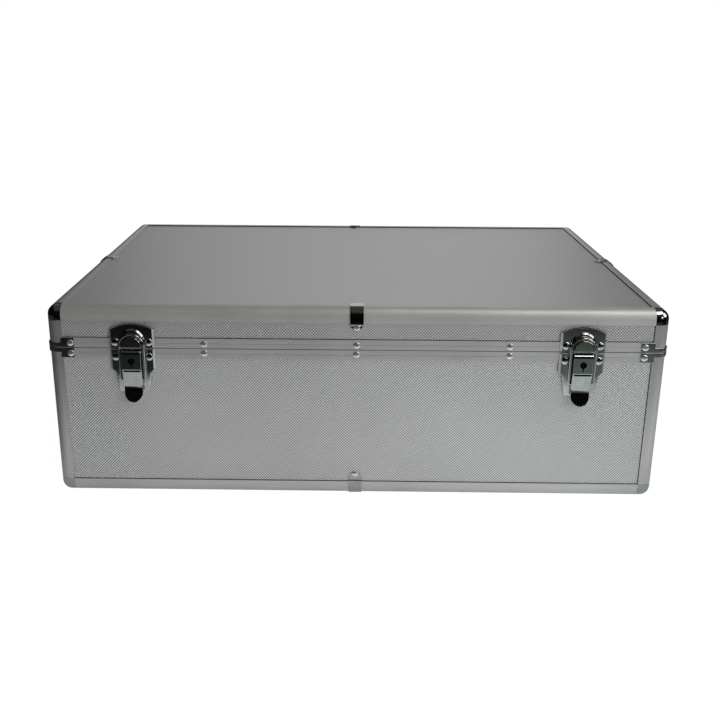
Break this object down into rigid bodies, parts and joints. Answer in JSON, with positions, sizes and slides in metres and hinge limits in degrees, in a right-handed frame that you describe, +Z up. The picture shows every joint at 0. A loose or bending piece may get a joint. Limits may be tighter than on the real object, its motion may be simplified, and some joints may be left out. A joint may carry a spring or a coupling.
{
  "type": "aluminium disc case",
  "caption": "Large aluminium framed storage case with chrome corners, a shallow hinged lid over a deep base, lockable draw latches and folding side handles.",
  "frame": {"origin": "centre of the case's underside, in the middle of its outline seen from above", "axes": "+X to the right as seen from the front, +Y to the back where the hinges are, +Z up"},
  "size_m": [0.634, 0.4612, 0.197],
  "materials": {
    "chrome_fittings": "polished",
    "divider_board": "matt black",
    "divider_metal": "satin",
    "edge_profile": "satin anodised",
    "embossed_panel": "fine embossed dots, satin",
    "grip": "matt black",
    "handle_steel": "polished",
    "hinge_steel": "polished",
    "latch_chrome": "polished",
    "lining": "dark short pile",
    "rivets": "polished",
    "top_panel": "satin"
  },
  "bodies": {
    "base": {"base_back_edge": "edge_profile", "base_back_panel": "embossed_panel", "base_back_rim": "edge_profile", "base_bottom_panel": "embossed_panel", "base_corner_brackets": "chrome_fittings", "base_corner_caps": "chrome_fittings", "base_corner_posts": "edge_profile", "base_edge_clips": "chrome_fittings", "base_frame_rivets": "rivets", "base_front_edge": "edge_profile", "base_front_panel": "embossed_panel", "base_front_rim": "edge_profile", "base_hinge_leaves": "hinge_steel", "base_left_edge": "edge_profile", "base_left_panel": "embossed_panel", "base_left_rim": "edge_profile", "base_lining": "lining", "base_right_edge": "edge_profile", "base_right_panel": "embossed_panel", "base_right_rim": "edge_profile", "divider_caps": "divider_metal", "divider_guides": "divider_metal", "handle_plates": "handle_steel", "latch_plates": "latch_chrome", "latch_rivets": "rivets", "row_dividers": "divider_board"},
    "lid": {"latch_strikes": "latch_chrome", "lid_back_edge": "edge_profile", "lid_back_panel": "embossed_panel", "lid_back_rim": "edge_profile", "lid_corner_brackets": "chrome_fittings", "lid_corner_caps": "chrome_fittings", "lid_corner_posts": "edge_profile", "lid_edge_clips": "chrome_fittings", "lid_frame_rivets": "rivets", "lid_front_edge": "edge_profile", "lid_front_panel": "embossed_panel", "lid_front_rim": "edge_profile", "lid_hinge_leaves": "hinge_steel", "lid_left_edge": "edge_profile", "lid_left_panel": "embossed_panel", "lid_left_rim": "edge_profile", "lid_lining": "lining", "lid_right_edge": "edge_profile", "lid_right_panel": "embossed_panel", "lid_right_rim": "edge_profile", "lid_top_panel": "top_panel", "strike_rivets": "rivets"},
    "left_lever": {"left_latch_lever": "latch_chrome"},
    "left_bail": {"left_latch_bail": "latch_chrome"},
    "left_cam": {"left_lock_cam": "latch_chrome"},
    "right_lever": {"right_latch_lever": "latch_chrome"},
    "right_bail": {"right_latch_bail": "latch_chrome"},
    "right_cam": {"right_lock_cam": "latch_chrome"},
    "left_handle": {"left_handle": "handle_steel", "left_handle_grip": "grip"},
    "right_handle": {"right_handle": "handle_steel", "right_handle_grip": "grip"}
  },
  "joints": [
    {"name": "lid_hinge", "type": "hinge", "parent": "base", "child": "lid", "pos_m": [0, 0.2233, 0.1545], "axis": [-1, 0, 0], "range_deg": [0, 95]},
    {"name": "left_lever_pivot", "type": "hinge", "parent": "base", "child": "left_lever", "pos_m": [-0.2175, -0.2264, 0.1509], "axis": [-1, 0, 0], "range_deg": [0, 110]},
    {"name": "left_bail_pivot", "type": "hinge", "parent": "left_lever", "child": "left_bail", "pos_m": [-0.2175, -0.2246, 0.1235], "axis": [-1, 0, 0], "range_deg": [-93.5, 0]},
    {"name": "left_lock_turn", "type": "hinge", "parent": "left_lever", "child": "left_cam", "pos_m": [-0.2175, -0.225, 0.1442], "axis": [0, 1, 0], "range_deg": [0, 90]},
    {"name": "left_handle_fold", "type": "hinge", "parent": "base", "child": "left_handle", "pos_m": [-0.3095, 0, 0.112], "axis": [0, 1, 0], "range_deg": [0, 90]},
    {"name": "right_lever_pivot", "type": "hinge", "parent": "base", "child": "right_lever", "pos_m": [0.2175, -0.2264, 0.1509], "axis": [-1, 0, 0], "range_deg": [0, 110]},
    {"name": "right_bail_pivot", "type": "hinge", "parent": "right_lever", "child": "right_bail", "pos_m": [0.2175, -0.2246, 0.1235], "axis": [-1, 0, 0], "range_deg": [-93.5, 0]},
    {"name": "right_lock_turn", "type": "hinge", "parent": "right_lever", "child": "right_cam", "pos_m": [0.2175, -0.225, 0.1442], "axis": [0, 1, 0], "range_deg": [0, 90]},
    {"name": "right_handle_fold", "type": "hinge", "parent": "base", "child": "right_handle", "pos_m": [0.3095, 0, 0.112], "axis": [0, -1, 0], "range_deg": [0, 90]}
  ],
  "couplings": [
    {"joint": "left_bail_pivot", "follows": "left_lever_pivot", "ratio": -0.85},
    {"joint": "right_bail_pivot", "follows": "right_lever_pivot", "ratio": -0.85}
  ]
}
